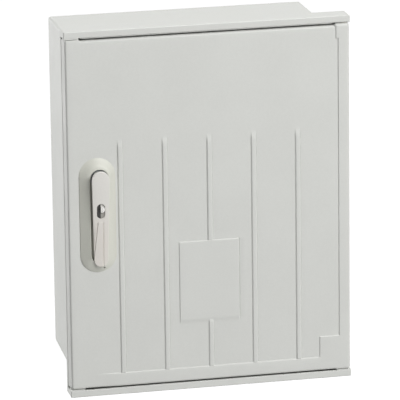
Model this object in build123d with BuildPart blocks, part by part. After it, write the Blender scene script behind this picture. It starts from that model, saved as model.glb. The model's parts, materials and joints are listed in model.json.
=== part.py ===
from build123d import *
from math import atan, degrees
import os

# Wall cabinet in millimetres. X is to the right, Y towards the wall, Z up.
# The wall face is y = 0 and the origin is the middle of the four wall holes.

# Cabinet shell
overall_width = 400.0
overall_height = 518.0
cabinet_depth = 212.0
shell_wall = 5.0
tub_side_inset = 18.0
tub_top_drop = 24.0
tub_bottom_rise = 20.0
tub_corner_radius = 4.0
tub_inner_radius = 3.0
tub_back_chamfer = 1.0
collar_depth = 30.0
collar_setback = 20.5
collar_corner_radius = 1.5
lip_height = 9.5
sill_height = 9.5
channel_wall = 4.0
front_edge_chamfer = 1.0
rim_setback = 13.0

# Fastening to the wall, and the plate inside
wall_hole_inset_x = 22.0
wall_hole_inset_z = 27.0
wall_hole_radius = 4.25
plate_margin_x = 37.0
plate_margin_z = 42.0
plate_thickness = 2.0
plate_corner_chamfer = 4.0
plate_screw_edge = 15.0
boss_radius = 7.5
boss_height = 16.0
insert_radius = 4.0
insert_length = 12.0
plate_screw_radius = 2.5
plate_screw_length = 13.0
plate_screw_head_radius = 4.75
plate_screw_head_height = 3.0

# Door
door_gap = 1.5
vent_gap = 4.0
vent_end = 21.5
hinge_side_setback = 1.2
field_setback = 1.0
door_wall = 4.0
skirt_depth = 14.0
door_corner_radius = 3.5
door_edge_radius = 3.0
relief = 1.8
relief_flank_angle = 45.0
relief_side_shift = 0.7
rib_count = 5
rib_width = 7.3
rib_handle_gap = 1.55
rib_top_drop = 142.0
rib_ramp = 14.0
plateau_width = 88.0
plateau_height = 119.0
plateau_relief = 2.4
plateau_drop = 105.5
stile_width = 16.3
stile_block_width = 19.7
stile_block_height = 21.0
rail_height = 20.7
corner_block_width = 28.2
corner_block_height = 29.8
rail_ramp_start = 34.0
rail_ramp = 42.0
seal_width = 8.0
seal_corner_radius = 8.0
seal_gap = 0.3

# Hinge
hinge_inset = 8.0
hinge_depth = 9.0
pin_radius = 3.0
pin_seat = 26.0
pin_reach = 5.5
bush_radius = 5.0
bush_length = 6.5
bush_flange_radius = 6.5
bush_play = 0.1

# Handle
handle_inset = 42.6
housing_width = 51.0
housing_top_margin = 15.4
housing_bottom_margin = 10.1
housing_height = 8.0
housing_flank = 9.5
pocket_floor = 3.0
pocket_gap = 0.9
pocket_side_shift = 0.4
pocket_tip_radius = 10.2
pocket_tip_shift = 3.4
tip_cover = 6.5
seal_hole_radius = 1.2
seal_hole_side = 7.5
seal_hole_edge = 7.0
housing_screw_edge = 8.0
housing_screw_radius = 2.0
housing_screw_bite = 4.0
housing_screw_head_radius = 4.0
housing_screw_head_height = 2.5
lever_side_shift = 1.9
lever_hub_radius = 12.6
lever_tip_radius = 9.9
lever_length = 114.0
lever_thickness = 9.0
lever_tip_thickness = 2.6
lever_flat_below_hub = 8.0
lever_edge_chamfer = 1.2
lever_lift_gap = 0.6
grip_relief = 0.8
grip_drop = 58.0
grip_length = 57.0
grip_right = 3.2
grip_left = 4.4
grip_left_spread = 4.0
lever_pin_radius = 1.5
lever_pin_rise = 8.5
lever_pin_height = 3.4
tongue_width = 8.0
tongue_radius = 3.0
tongue_play = 0.3
cavity_upper_radius = 9.0
cavity_lower_radius = 6.0
cavity_depth = 4.0
cavity_upper_drop = 19.0
cavity_lower_drop = 85.0
lock_drop = 43.6
lock_width = 11.5
lock_length = 21.0
lock_flange = 1.25
lock_recess = 2.4
plug_recess = 0.4
plug_side_shift = 1.4
plug_rise = 2.1
plug_radius = 4.0
plug_tail_radius = 2.0
key_slot_width = 1.3
key_slot_length = 5.2
key_slot_depth = 2.0
catch_thickness = 1.8
catch_hub_radius = 4.0
catch_reach = 6.6

# Spindle and latch
spindle_disc_radius = 12.0
spindle_disc_play = 0.3
spindle_radius = 5.0
spindle_square = 7.0
spindle_bush_radius = 7.0
spindle_bush_flange_radius = 9.0
spindle_bush_flange = 1.5
cam_setback = 30.0
cam_thickness = 4.0
cam_hub_radius = 9.0
cam_tongue_width = 12.0
cam_washer_radius = 8.0
cam_washer_thickness = 1.5
cam_screw_radius = 2.5
cam_screw_length = 13.0
cam_screw_head_radius = 4.5
cam_screw_head_height = 3.5
keeper_thickness = 2.5
keeper_width = 40.0
keeper_length = 30.0
keeper_lip = 5.5
keeper_gap = 1.0
keeper_ahead = 5.5
keeper_screw_pitch = 24.0
keeper_screw_setback = 22.0
keeper_screw_radius = 2.0
keeper_screw_bite = 4.0
keeper_screw_head_radius = 3.8
keeper_screw_head_height = 2.2

# Screw shanks and their bores are prisms
screw_sides = 12

# Clearances
running_clearance = 0.05
seat_clearance = 0.05
hole_clearance = 0.3

# Places worked out from the sizes above
tub_width = overall_width - 2 * tub_side_inset
tub_height = overall_height - tub_top_drop - tub_bottom_rise
tub_depth = cabinet_depth - collar_depth
inner_half_width = tub_width / 2 - shell_wall
inner_height = tub_height - 2 * shell_wall
wall_hole_pitch_x = 2 * (inner_half_width - wall_hole_inset_x)
wall_hole_pitch_z = inner_height - 2 * wall_hole_inset_z
plate_width = 2 * (inner_half_width - plate_margin_x)
plate_height = inner_height - 2 * plate_margin_z
plate_screw_pitch_x = plate_width - 2 * plate_screw_edge
plate_screw_pitch_z = plate_height - 2 * plate_screw_edge
lip_top = tub_height / 2 + tub_top_drop
sill_bottom = -tub_height / 2 - tub_bottom_rise
lip_bottom = lip_top - lip_height
sill_top = sill_bottom + sill_height
collar_middle = (lip_top + sill_bottom) / 2
vent_width = overall_width - 2 * vent_end
rim_front = cabinet_depth - rim_setback

door_top = lip_bottom - door_gap
door_bottom = sill_top + door_gap
door_height = door_top - door_bottom
door_z = (door_top + door_bottom) / 2
door_left = -overall_width / 2
door_right = overall_width / 2 - hinge_side_setback
door_width = door_right - door_left
door_x = (door_left + door_right) / 2
relief_x = door_x - relief_side_shift
vent_drop = vent_gap - door_gap
field_front = cabinet_depth - field_setback
door_inside = field_front - door_wall
door_back = field_front - skirt_depth
rib_top = door_top - rib_top_drop
rail_top = door_bottom + rail_height
stile_left = door_right - stile_width

hinge_x = overall_width / 2 - hinge_inset
hinge_y = -(cabinet_depth - hinge_depth)
hinge_boss_radius = door_right - hinge_x

handle_x = door_left + handle_inset
handle_z = door_z
lever_overall = lever_hub_radius + lever_length + lever_tip_radius
housing_length = housing_top_margin + lever_overall + housing_bottom_margin
housing_screw_pitch = housing_length - 2 * housing_screw_edge
housing_front = field_front + housing_height
housing_flank_angle = degrees(atan(housing_flank / housing_height))
lever_x = handle_x + lever_side_shift
pocket_x = lever_x - pocket_side_shift
first_rib_x = handle_x + housing_width / 2 + rib_handle_gap + rib_width / 2
rib_pitch = 2 * (relief_x - first_rib_x) / (rib_count - 1)
hub_z = handle_z + housing_length / 2 - housing_top_margin - lever_hub_radius
tip_z = hub_z - lever_length
pocket_tip_x = lever_x - pocket_tip_shift
pocket_tip_z = tip_z - lever_tip_radius + tip_cover + pocket_tip_radius
lever_back = housing_front + lever_lift_gap
lever_front = lever_back + lever_thickness
lever_pin_z = hub_z + lever_pin_rise
lever_pin_y = -(lever_back + lever_pin_height)
lock_z = hub_z - lock_drop
slope_top_z = hub_z - lever_flat_below_hub
slope_bottom_z = tip_z - lever_tip_radius
slope_share = (slope_top_z - lock_z) / (slope_top_z - slope_bottom_z)
lever_front_at_lock = lever_front - slope_share * (lever_thickness - lever_tip_thickness)
lock_front = lever_front_at_lock - lock_recess
plug_front = lever_front_at_lock - plug_recess
plug_x = lever_x + plug_side_shift
plug_z = lock_z + plug_rise
lock_seat = lever_back + cavity_depth
plug_back = lock_seat - lock_flange - hole_clearance

cam_front = cabinet_depth - cam_setback + cam_thickness
cam_back = cam_front - cam_thickness
wall_inside_x = -inner_half_width
keeper_lip_x = wall_inside_x + keeper_lip
cam_reach = lever_x - (keeper_lip_x + keeper_gap)
keeper_front = cam_front + keeper_ahead + keeper_thickness
keeper_screw_y = -(keeper_front - keeper_screw_setback)


def hinge_bush(face_z, inward):
    """Flanged bush in the lip (inward = 1) or the sill (inward = -1), its flange on the face."""
    flange = door_gap - bush_play
    with BuildPart() as bush:
        with BuildSketch(Plane.XY.offset(face_z)):
            with Locations((hinge_x, hinge_y)):
                Circle(bush_radius)
        extrude(amount=inward * bush_length)
        with BuildSketch(Plane.XY.offset(face_z)):
            with Locations((hinge_x, hinge_y)):
                Circle(bush_flange_radius)
        extrude(amount=-inward * flange)
        with BuildSketch(Plane.XY.offset(face_z)):
            with Locations((hinge_x, hinge_y)):
                Circle(pin_radius + running_clearance)
        extrude(amount=bush_length + flange, both=True, mode=Mode.SUBTRACT)
    return bush.part


def hinge_pin(door_end_z, face_z, inward):
    """Pin that is fast in the door and reaches past the face of the lip or the sill."""
    with BuildPart() as pin:
        with BuildSketch(Plane.XY.offset(door_end_z - inward * pin_seat)):
            with Locations((hinge_x, hinge_y)):
                Circle(pin_radius)
        extrude(amount=inward * (pin_seat + abs(face_z - door_end_z) + pin_reach))
    return pin.part


# Body shell: tub, collar, roof lip and sill in one moulding
with BuildPart() as body_shell:
    with BuildSketch(Plane.XZ):
        RectangleRounded(tub_width, tub_height, tub_corner_radius)
    extrude(amount=tub_depth)
    chamfer(body_shell.faces().sort_by(Axis.Y)[-1].edges(), tub_back_chamfer)
    with BuildSketch(Plane.XZ.offset(tub_depth)):
        with Locations((0, collar_middle)):
            RectangleRounded(overall_width, overall_height, collar_corner_radius)
    extrude(amount=collar_depth)
    with BuildSketch(Plane.XZ.offset(tub_depth + shell_wall)):
        with Locations((0, (lip_bottom + sill_top) / 2)):
            Rectangle(overall_width - 2 * shell_wall, lip_bottom - sill_top)
    extrude(amount=collar_depth, mode=Mode.SUBTRACT)
    with BuildSketch(Plane.XZ.offset(cabinet_depth)):
        with Locations((0, (lip_bottom + sill_top) / 2)):
            Rectangle(2 * overall_width, lip_bottom - sill_top)
    extrude(amount=-collar_setback, mode=Mode.SUBTRACT)
    with BuildSketch(Plane.XZ.offset(tub_depth)):
        RectangleRounded(tub_width, tub_height, tub_corner_radius)
    extrude(amount=rim_front - tub_depth)
    with BuildSketch(Plane.XZ.offset(shell_wall)):
        RectangleRounded(2 * inner_half_width, inner_height, tub_inner_radius)
    extrude(amount=cabinet_depth, mode=Mode.SUBTRACT)
    chamfer(body_shell.faces().filter_by(Plane.XZ).group_by(Axis.Y)[0].edges(), front_edge_chamfer)
    # Lip and sill are channels between their solid ends
    with BuildSketch(Plane.XZ.offset(tub_depth + shell_wall)):
        with Locations((0, lip_bottom)):
            Rectangle(vent_width, 2 * (lip_height - channel_wall))
        with Locations((0, sill_top)):
            Rectangle(vent_width, 2 * (sill_height - channel_wall))
    extrude(amount=collar_depth - shell_wall - channel_wall, mode=Mode.SUBTRACT)
    # Seats of the hinge bushes
    with BuildSketch(Plane.XY.offset(lip_bottom)):
        with Locations((hinge_x, hinge_y)):
            Circle(bush_radius + seat_clearance)
    extrude(amount=bush_length, mode=Mode.SUBTRACT)
    with BuildSketch(Plane.XY.offset(sill_top)):
        with Locations((hinge_x, hinge_y)):
            Circle(bush_radius + seat_clearance)
    extrude(amount=-bush_length, mode=Mode.SUBTRACT)
    # Bosses for the inner plate, and the wall holes
    with BuildSketch(Plane.XZ.offset(shell_wall)):
        with GridLocations(plate_screw_pitch_x, plate_screw_pitch_z, 2, 2):
            Circle(boss_radius)
    extrude(amount=boss_height)
    with BuildSketch(Plane.XZ.offset(shell_wall + boss_height)):
        with GridLocations(plate_screw_pitch_x, plate_screw_pitch_z, 2, 2):
            RegularPolygon(insert_radius + seat_clearance, 6)
    extrude(amount=-insert_length, mode=Mode.SUBTRACT)
    with BuildSketch(Plane.XZ):
        with GridLocations(wall_hole_pitch_x, wall_hole_pitch_z, 2, 2):
            Circle(wall_hole_radius)
    extrude(amount=shell_wall, mode=Mode.SUBTRACT)
    # Blind holes for the keeper's screws
    with BuildSketch(Plane.YZ.offset(wall_inside_x)):
        with Locations((keeper_screw_y, hub_z)):
            with GridLocations(0, keeper_screw_pitch, 1, 2):
                RegularPolygon(keeper_screw_radius + seat_clearance, screw_sides)
    extrude(amount=-keeper_screw_bite, mode=Mode.SUBTRACT)
body_shell.part.label = "body_shell"


# Door: shallow tray with a skirt, its face moulded in relief
with BuildPart() as door_panel:
    with BuildSketch(Plane.XZ.offset(door_back)):
        with Locations((door_x, door_z)):
            RectangleRounded(door_width, door_height, door_corner_radius)
    extrude(amount=skirt_depth + relief)
    fillet(door_panel.faces().sort_by(Axis.Y)[0].edges(), door_edge_radius)
    # The field lies below the hinge stile, its block, the bottom rail and their corner block
    with BuildSketch(Plane.XZ.offset(field_front)):
        with BuildLine():
            Polyline(
                (door_left - stile_block_width, door_top + stile_block_height),
                (door_right - stile_block_width, door_top + stile_block_height),
                (door_right - stile_block_width, door_top - stile_block_height),
                (stile_left, door_top - stile_block_height),
                (stile_left, rail_top + corner_block_height),
                (stile_left - corner_block_width, rail_top + corner_block_height),
                (stile_left - corner_block_width, rail_top),
                (door_left - stile_block_width, rail_top),
                close=True,
            )
        make_face()
    extrude(amount=2 * relief, taper=-relief_flank_angle, mode=Mode.SUBTRACT)
    # The rail runs out into the field towards the lower left corner
    with BuildSketch(Plane.XY.offset(door_bottom - relief)):
        with BuildLine():
            Polyline(
                (door_left - relief, -field_front),
                (door_left + rail_ramp_start, -field_front),
                (door_left + rail_ramp_start + rail_ramp, -field_front - relief),
                (door_left + rail_ramp_start + rail_ramp, -field_front - 2 * relief),
                (door_left - relief, -field_front - 2 * relief),
                close=True,
            )
        make_face()
    extrude(amount=rail_height + 2 * relief, mode=Mode.SUBTRACT)
    # Ribs, each running out at its upper end
    rib_length = rib_top - rail_top
    with BuildSketch(Plane.XZ.offset(field_front)):
        with Locations((relief_x, rail_top + rib_length / 2)):
            with GridLocations(rib_pitch, 0, rib_count, 1):
                Rectangle(rib_width, rib_length)
    extrude(amount=relief, taper=relief_flank_angle)
    with BuildSketch(Plane.YZ.offset(relief_x)):
        with BuildLine():
            Polyline(
                (-field_front, rib_top),
                (-field_front - relief, rib_top - rib_ramp),
                (-field_front - 2 * relief, rib_top - rib_ramp),
                (-field_front - 2 * relief, rib_top),
                close=True,
            )
        make_face()
    extrude(amount=(rib_count - 1) / 2 * rib_pitch + rib_width, both=True, mode=Mode.SUBTRACT)
    # Blank plateau over the middle rib
    with BuildSketch(Plane.XZ.offset(field_front)):
        with Locations((relief_x, door_z - plateau_drop)):
            Rectangle(plateau_width, plateau_height)
    extrude(amount=plateau_relief, taper=relief_flank_angle)
    # Lower top and bottom edges along the vents
    with BuildSketch(Plane.XZ.offset(door_back)):
        with Locations((0, door_top), (0, door_bottom)):
            Rectangle(vent_width, 2 * vent_drop)
    extrude(amount=2 * skirt_depth, mode=Mode.SUBTRACT)
    # Hollow behind, with the hinge bosses left standing
    with BuildSketch(Plane.XZ.offset(door_back)):
        with Locations((door_x, door_z)):
            Rectangle(door_width - 2 * door_wall, door_height - 2 * vent_drop - 2 * door_wall)
    extrude(amount=skirt_depth - door_wall, mode=Mode.SUBTRACT)
    for end_z, inward in ((door_top, 1), (door_bottom, -1)):
        with BuildSketch(Plane.XY.offset(end_z)):
            with Locations((hinge_x, hinge_y)):
                Circle(hinge_boss_radius)
        extrude(amount=-inward * (pin_seat + pin_radius))
        with BuildSketch(Plane.XY.offset(end_z)):
            with Locations((hinge_x, hinge_y)):
                Circle(pin_radius + seat_clearance)
        extrude(amount=-inward * pin_seat, mode=Mode.SUBTRACT)
    # Holes for the spindle's bush and the housing's screws
    with BuildSketch(Plane.XZ.offset(door_inside)):
        with Locations((lever_x, hub_z)):
            Circle(spindle_bush_radius + seat_clearance)
        with Locations((handle_x, handle_z)):
            with GridLocations(0, housing_screw_pitch, 1, 2):
                Circle(housing_screw_radius + hole_clearance)
    extrude(amount=door_wall + relief, mode=Mode.SUBTRACT)
door_panel.part.label = "door_panel"


# Door seal: rubber ring on the inside of the door, facing the tub's rim
with BuildPart() as door_seal:
    seal_outer_width = tub_width - shell_wall + seal_width
    seal_outer_height = tub_height - shell_wall + seal_width
    with BuildSketch(Plane.XZ.offset(door_inside)):
        RectangleRounded(seal_outer_width, seal_outer_height, seal_corner_radius)
        RectangleRounded(
            seal_outer_width - 2 * seal_width,
            seal_outer_height - 2 * seal_width,
            seal_corner_radius - seal_width / 2,
            mode=Mode.SUBTRACT,
        )
    extrude(amount=-(door_inside - rim_front - seal_gap))
door_seal.part.label = "door_seal"


# Hinge pins and bushes
hinge_bush_upper = hinge_bush(lip_bottom, 1)
hinge_bush_upper.label = "hinge_bush_upper"
hinge_bush_lower = hinge_bush(sill_top, -1)
hinge_bush_lower.label = "hinge_bush_lower"
hinge_pin_upper = hinge_pin(door_top, lip_bottom, 1)
hinge_pin_upper.label = "hinge_pin_upper"
hinge_pin_lower = hinge_pin(door_bottom, sill_top, -1)
hinge_pin_lower.label = "hinge_pin_lower"


# Handle housing: long boss with sloping flanks and a pocket under the lever
with BuildPart() as handle_housing:
    with BuildSketch(Plane.XZ.offset(field_front)):
        with Locations((handle_x, handle_z)):
            SlotOverall(housing_length, housing_width, rotation=90)
    extrude(amount=housing_height, taper=housing_flank_angle)
    with BuildSketch(Plane.XZ.offset(field_front + pocket_floor)):
        with Locations((pocket_x, hub_z)):
            Circle(lever_hub_radius + pocket_gap)
        with Locations((pocket_tip_x, pocket_tip_z)):
            Circle(pocket_tip_radius)
        make_hull()
    extrude(amount=housing_height, mode=Mode.SUBTRACT)
    with BuildSketch(Plane.XZ.offset(field_front)):
        with Locations((lever_x, hub_z)):
            Circle(spindle_disc_radius + spindle_disc_play)
    extrude(amount=pocket_floor, mode=Mode.SUBTRACT)
    with BuildSketch(Plane.XZ.offset(field_front)):
        with Locations((handle_x, handle_z)):
            with GridLocations(0, housing_screw_pitch, 1, 2):
                RegularPolygon(housing_screw_radius + seat_clearance, screw_sides)
    extrude(amount=housing_screw_bite, mode=Mode.SUBTRACT)
    with BuildSketch(Plane.XZ.offset(field_front)):
        with Locations((handle_x + seal_hole_side, handle_z - housing_length / 2 + seal_hole_edge)):
            Circle(seal_hole_radius)
    extrude(amount=housing_height, mode=Mode.SUBTRACT)
handle_housing.part.label = "handle_housing"


# Housing screws, driven from inside the door
with BuildPart() as housing_screws:
    with BuildSketch(Plane.XZ.offset(door_inside)):
        with Locations((handle_x, handle_z)):
            with GridLocations(0, housing_screw_pitch, 1, 2):
                RegularPolygon(housing_screw_radius, screw_sides)
    extrude(amount=door_wall + housing_screw_bite - hole_clearance)
    with BuildSketch(Plane.XZ.offset(door_inside)):
        with Locations((handle_x, handle_z)):
            with GridLocations(0, housing_screw_pitch, 1, 2):
                RegularPolygon(housing_screw_head_radius, 6)
    extrude(amount=-housing_screw_head_height)
housing_screws.part.label = "housing_screws"


# Lever: round hub end, taper towards the tip, hollow behind
with BuildPart() as handle_lever:
    with BuildSketch(Plane.XZ.offset(lever_back)):
        with Locations((lever_x, hub_z)):
            Circle(lever_hub_radius)
        with Locations((lever_x, tip_z)):
            Circle(lever_tip_radius)
        make_hull()
    extrude(amount=lever_thickness)
    with BuildSketch(Plane.YZ.offset(lever_x)):
        with BuildLine():
            Polyline(
                (-lever_front, slope_top_z),
                (-(lever_back + lever_tip_thickness), slope_bottom_z),
                (-lever_front - lever_thickness, slope_bottom_z),
                (-lever_front - lever_thickness, slope_top_z),
                close=True,
            )
        make_face()
    extrude(amount=2 * lever_hub_radius, both=True, mode=Mode.SUBTRACT)
    front_edges = handle_lever.faces().filter_by(lambda face: face.normal_at().Y < -0.9).edges()
    crease = front_edges.filter_by(Axis.X)
    chamfer(front_edges - crease, lever_edge_chamfer)
    # Raised grip below the lock, wider towards the tip
    slope_plane = Plane(
        origin=(lever_x, -lever_front, slope_top_z),
        x_dir=(1, 0, 0),
        z_dir=(0, slope_bottom_z - slope_top_z, lever_tip_thickness - lever_thickness),
    )
    with BuildSketch(slope_plane):
        with BuildLine():
            Polyline(
                (-grip_left, -grip_drop + lever_flat_below_hub),
                (grip_right, -grip_drop + lever_flat_below_hub),
                (grip_right, -grip_drop + lever_flat_below_hub - grip_length),
                (-grip_left - grip_left_spread, -grip_drop + lever_flat_below_hub - grip_length),
                close=True,
            )
        make_face()
    extrude(amount=grip_relief, taper=relief_flank_angle)
    with BuildSketch(Plane.XZ.offset(lever_back)):
        with Locations((lever_x, hub_z - cavity_upper_drop)):
            Circle(cavity_upper_radius)
        with Locations((lever_x, hub_z - cavity_lower_drop)):
            Circle(cavity_lower_radius)
        make_hull()
    extrude(amount=cavity_depth, mode=Mode.SUBTRACT)
    with BuildSketch(Plane.XZ.offset(lever_back)):
        with Locations((lever_x, lock_z)):
            SlotOverall(lock_length + 2 * seat_clearance, lock_width + 2 * seat_clearance, rotation=90)
    extrude(amount=lever_thickness, mode=Mode.SUBTRACT)
    # Slot for the spindle's tongue, open towards the hub end so that the lever can fold out
    with BuildSketch(Plane.YZ.offset(lever_x)):
        with Locations((lever_pin_y, lever_pin_z)):
            Circle(tongue_radius + 2 * tongue_play)
        with Locations((lever_pin_y - 2 * tongue_play, lever_pin_z - tongue_radius - tongue_play)):
            Rectangle(lever_thickness, 2 * lever_hub_radius, align=(Align.MIN, Align.MIN))
    extrude(amount=tongue_width / 2 + tongue_play, both=True, mode=Mode.SUBTRACT)
    with Locations((lever_x, lever_pin_y, lever_pin_z)):
        Cylinder(
            lever_pin_radius + seat_clearance, 3 * lever_hub_radius, rotation=(0, 90, 0), mode=Mode.SUBTRACT
        )
handle_lever.part.label = "handle_lever"


# Pin on which the lever folds out
with BuildPart() as lever_pin:
    with Locations((lever_x, lever_pin_y, lever_pin_z)):
        Cylinder(
            lever_pin_radius,
            2 * (lever_hub_radius**2 - (lever_pin_rise + lever_pin_radius) ** 2) ** 0.5,
            rotation=(0, 90, 0),
        )
lever_pin.part.label = "lever_pin"


# Lock cylinder in the lever, its flange behind the lever's face
with BuildPart() as lock_cylinder:
    with BuildSketch(Plane.XZ.offset(lock_seat - lock_flange)):
        with Locations((lever_x, lock_z)):
            SlotOverall(lock_length + 2 * lock_flange, lock_width + 2 * lock_flange, rotation=90)
    extrude(amount=lock_flange)
    with BuildSketch(Plane.XZ.offset(lock_seat)):
        with Locations((lever_x, lock_z)):
            SlotOverall(lock_length, lock_width, rotation=90)
    extrude(amount=lock_front - lock_seat)
    with BuildSketch(Plane.XZ.offset(lock_seat - lock_flange)):
        with Locations((plug_x, plug_z)):
            Circle(plug_radius + running_clearance)
    extrude(amount=lever_thickness, mode=Mode.SUBTRACT)
lock_cylinder.part.label = "lock_cylinder"


# Key plug with its slot, and a tail that carries the catch
with BuildPart() as key_plug:
    with BuildSketch(Plane.XZ.offset(plug_back)):
        with Locations((plug_x, plug_z)):
            Circle(plug_radius)
    extrude(amount=plug_front - plug_back)
    with BuildSketch(Plane.XZ.offset(plug_back)):
        with Locations((plug_x, plug_z)):
            Circle(plug_tail_radius)
    extrude(amount=-catch_thickness)
    with BuildSketch(Plane.XZ.offset(plug_front)):
        with Locations((plug_x, plug_z)):
            Rectangle(key_slot_width, key_slot_length)
    extrude(amount=-key_slot_depth, mode=Mode.SUBTRACT)
key_plug.part.label = "key_plug"


# Catch on the key plug's tail, inside the lever's hollow
with BuildPart() as lock_catch:
    with BuildSketch(Plane.XZ.offset(plug_back)):
        with Locations((plug_x, plug_z)):
            Circle(catch_hub_radius)
        with Locations((plug_x - catch_reach / 2, plug_z)):
            Rectangle(catch_reach, catch_hub_radius)
        with Locations((plug_x, plug_z)):
            Circle(plug_tail_radius + seat_clearance, mode=Mode.SUBTRACT)
    extrude(amount=-catch_thickness)
lock_catch.part.label = "lock_catch"


# Spindle: disc in the housing, tongue for the lever, shaft through the door, square for the cam
with BuildPart() as spindle:
    with BuildSketch(Plane.XZ.offset(field_front + spindle_disc_play)):
        with Locations((lever_x, hub_z)):
            Circle(spindle_disc_radius)
    extrude(amount=pocket_floor - 2 * spindle_disc_play)
    with BuildSketch(Plane.YZ.offset(lever_x)):
        with Locations((lever_pin_y, lever_pin_z)):
            Circle(tongue_radius)
            Rectangle(
                -lever_pin_y - field_front - pocket_floor + spindle_disc_play,
                2 * tongue_radius,
                align=(Align.MIN, Align.CENTER),
            )
    extrude(amount=tongue_width / 2, both=True)
    with BuildSketch(Plane.XZ.offset(cam_front)):
        with Locations((lever_x, hub_z)):
            Circle(spindle_radius)
    extrude(amount=field_front + spindle_disc_play - cam_front)
    with BuildSketch(Plane.XZ.offset(cam_front)):
        with Locations((lever_x, hub_z)):
            Rectangle(spindle_square, spindle_square)
    extrude(amount=-(cam_thickness - seat_clearance))
    with BuildSketch(Plane.XZ.offset(cam_back)):
        with Locations((lever_x, hub_z)):
            RegularPolygon(cam_screw_radius + seat_clearance, screw_sides)
    extrude(amount=cam_screw_length + hole_clearance, mode=Mode.SUBTRACT)
    with Locations((lever_x, lever_pin_y, lever_pin_z)):
        Cylinder(
            lever_pin_radius + running_clearance, 2 * tongue_width, rotation=(0, 90, 0), mode=Mode.SUBTRACT
        )
spindle.part.label = "spindle"


# Flanged bush in the door for the spindle
with BuildPart() as spindle_bush:
    with BuildSketch(Plane.XZ.offset(door_inside)):
        with Locations((lever_x, hub_z)):
            Circle(spindle_bush_radius)
    extrude(amount=door_wall)
    with BuildSketch(Plane.XZ.offset(door_inside)):
        with Locations((lever_x, hub_z)):
            Circle(spindle_bush_flange_radius)
    extrude(amount=-spindle_bush_flange)
    with BuildSketch(Plane.XZ.offset(door_inside)):
        with Locations((lever_x, hub_z)):
            Circle(spindle_radius + running_clearance)
    extrude(amount=door_wall + spindle_bush_flange, both=True, mode=Mode.SUBTRACT)
spindle_bush.part.label = "spindle_bush"


# Latch cam on the spindle's square, its washer and its screw
with BuildPart() as latch_cam:
    with BuildSketch(Plane.XZ.offset(cam_front)):
        with Locations((lever_x, hub_z)):
            Circle(cam_hub_radius)
            Rectangle(cam_reach, cam_tongue_width, align=(Align.MAX, Align.CENTER))
            Rectangle(
                spindle_square + 2 * seat_clearance, spindle_square + 2 * seat_clearance, mode=Mode.SUBTRACT
            )
    extrude(amount=-cam_thickness)
latch_cam.part.label = "latch_cam"

with BuildPart() as cam_washer:
    with BuildSketch(Plane.XZ.offset(cam_back)):
        with Locations((lever_x, hub_z)):
            Circle(cam_washer_radius)
            Circle(cam_screw_radius + hole_clearance, mode=Mode.SUBTRACT)
    extrude(amount=-cam_washer_thickness)
cam_washer.part.label = "cam_washer"

with BuildPart() as cam_screw:
    with BuildSketch(Plane.XZ.offset(cam_back - cam_washer_thickness)):
        with Locations((lever_x, hub_z)):
            RegularPolygon(cam_screw_head_radius, 6)
    extrude(amount=-cam_screw_head_height)
    with BuildSketch(Plane.XZ.offset(cam_back - cam_washer_thickness)):
        with Locations((lever_x, hub_z)):
            RegularPolygon(cam_screw_radius, screw_sides)
    extrude(amount=cam_screw_length)
cam_screw.part.label = "cam_screw"


# Keeper: folded plate on the tub's inner wall, with its lip ahead of the cam
with BuildPart() as latch_keeper:
    with BuildSketch(Plane.XY.offset(hub_z)):
        with Locations((wall_inside_x, -keeper_front)):
            Rectangle(keeper_thickness, keeper_length, align=(Align.MIN, Align.MIN))
            Rectangle(keeper_lip, keeper_thickness, align=(Align.MIN, Align.MIN))
    extrude(amount=keeper_width / 2, both=True)
    with BuildSketch(Plane.YZ.offset(wall_inside_x)):
        with Locations((keeper_screw_y, hub_z)):
            with GridLocations(0, keeper_screw_pitch, 1, 2):
                Circle(keeper_screw_radius + hole_clearance)
    extrude(amount=keeper_thickness, mode=Mode.SUBTRACT)
latch_keeper.part.label = "latch_keeper"

with BuildPart() as keeper_screws:
    with BuildSketch(Plane.YZ.offset(wall_inside_x + keeper_thickness)):
        with Locations((keeper_screw_y, hub_z)):
            with GridLocations(0, keeper_screw_pitch, 1, 2):
                RegularPolygon(keeper_screw_head_radius, 6)
    extrude(amount=keeper_screw_head_height)
    with BuildSketch(Plane.YZ.offset(wall_inside_x + keeper_thickness)):
        with Locations((keeper_screw_y, hub_z)):
            with GridLocations(0, keeper_screw_pitch, 1, 2):
                RegularPolygon(keeper_screw_radius, screw_sides)
    extrude(amount=-(keeper_thickness + keeper_screw_bite - hole_clearance))
keeper_screws.part.label = "keeper_screws"


# Steel plate inside, with its brass inserts and screws
plate_back = shell_wall + boss_height
with BuildPart() as mounting_plate:
    with BuildSketch(Plane.XZ.offset(plate_back)) as plate_outline:
        Rectangle(plate_width, plate_height)
        chamfer(plate_outline.vertices(), plate_corner_chamfer)
        with GridLocations(plate_screw_pitch_x, plate_screw_pitch_z, 2, 2):
            Circle(plate_screw_radius + hole_clearance, mode=Mode.SUBTRACT)
    extrude(amount=plate_thickness)
mounting_plate.part.label = "mounting_plate"

with BuildPart() as plate_inserts:
    with BuildSketch(Plane.XZ.offset(plate_back)):
        with GridLocations(plate_screw_pitch_x, plate_screw_pitch_z, 2, 2):
            RegularPolygon(insert_radius, 6)
            RegularPolygon(plate_screw_radius + seat_clearance, screw_sides, mode=Mode.SUBTRACT)
    extrude(amount=-insert_length)
plate_inserts.part.label = "plate_inserts"

with BuildPart() as plate_screws:
    with BuildSketch(Plane.XZ.offset(plate_back + plate_thickness)):
        with GridLocations(plate_screw_pitch_x, plate_screw_pitch_z, 2, 2):
            RegularPolygon(plate_screw_head_radius, 6)
    extrude(amount=plate_screw_head_height)
    with BuildSketch(Plane.XZ.offset(plate_back + plate_thickness)):
        with GridLocations(plate_screw_pitch_x, plate_screw_pitch_z, 2, 2):
            RegularPolygon(plate_screw_radius, screw_sides)
    extrude(amount=-plate_screw_length)
plate_screws.part.label = "plate_screws"


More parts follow.
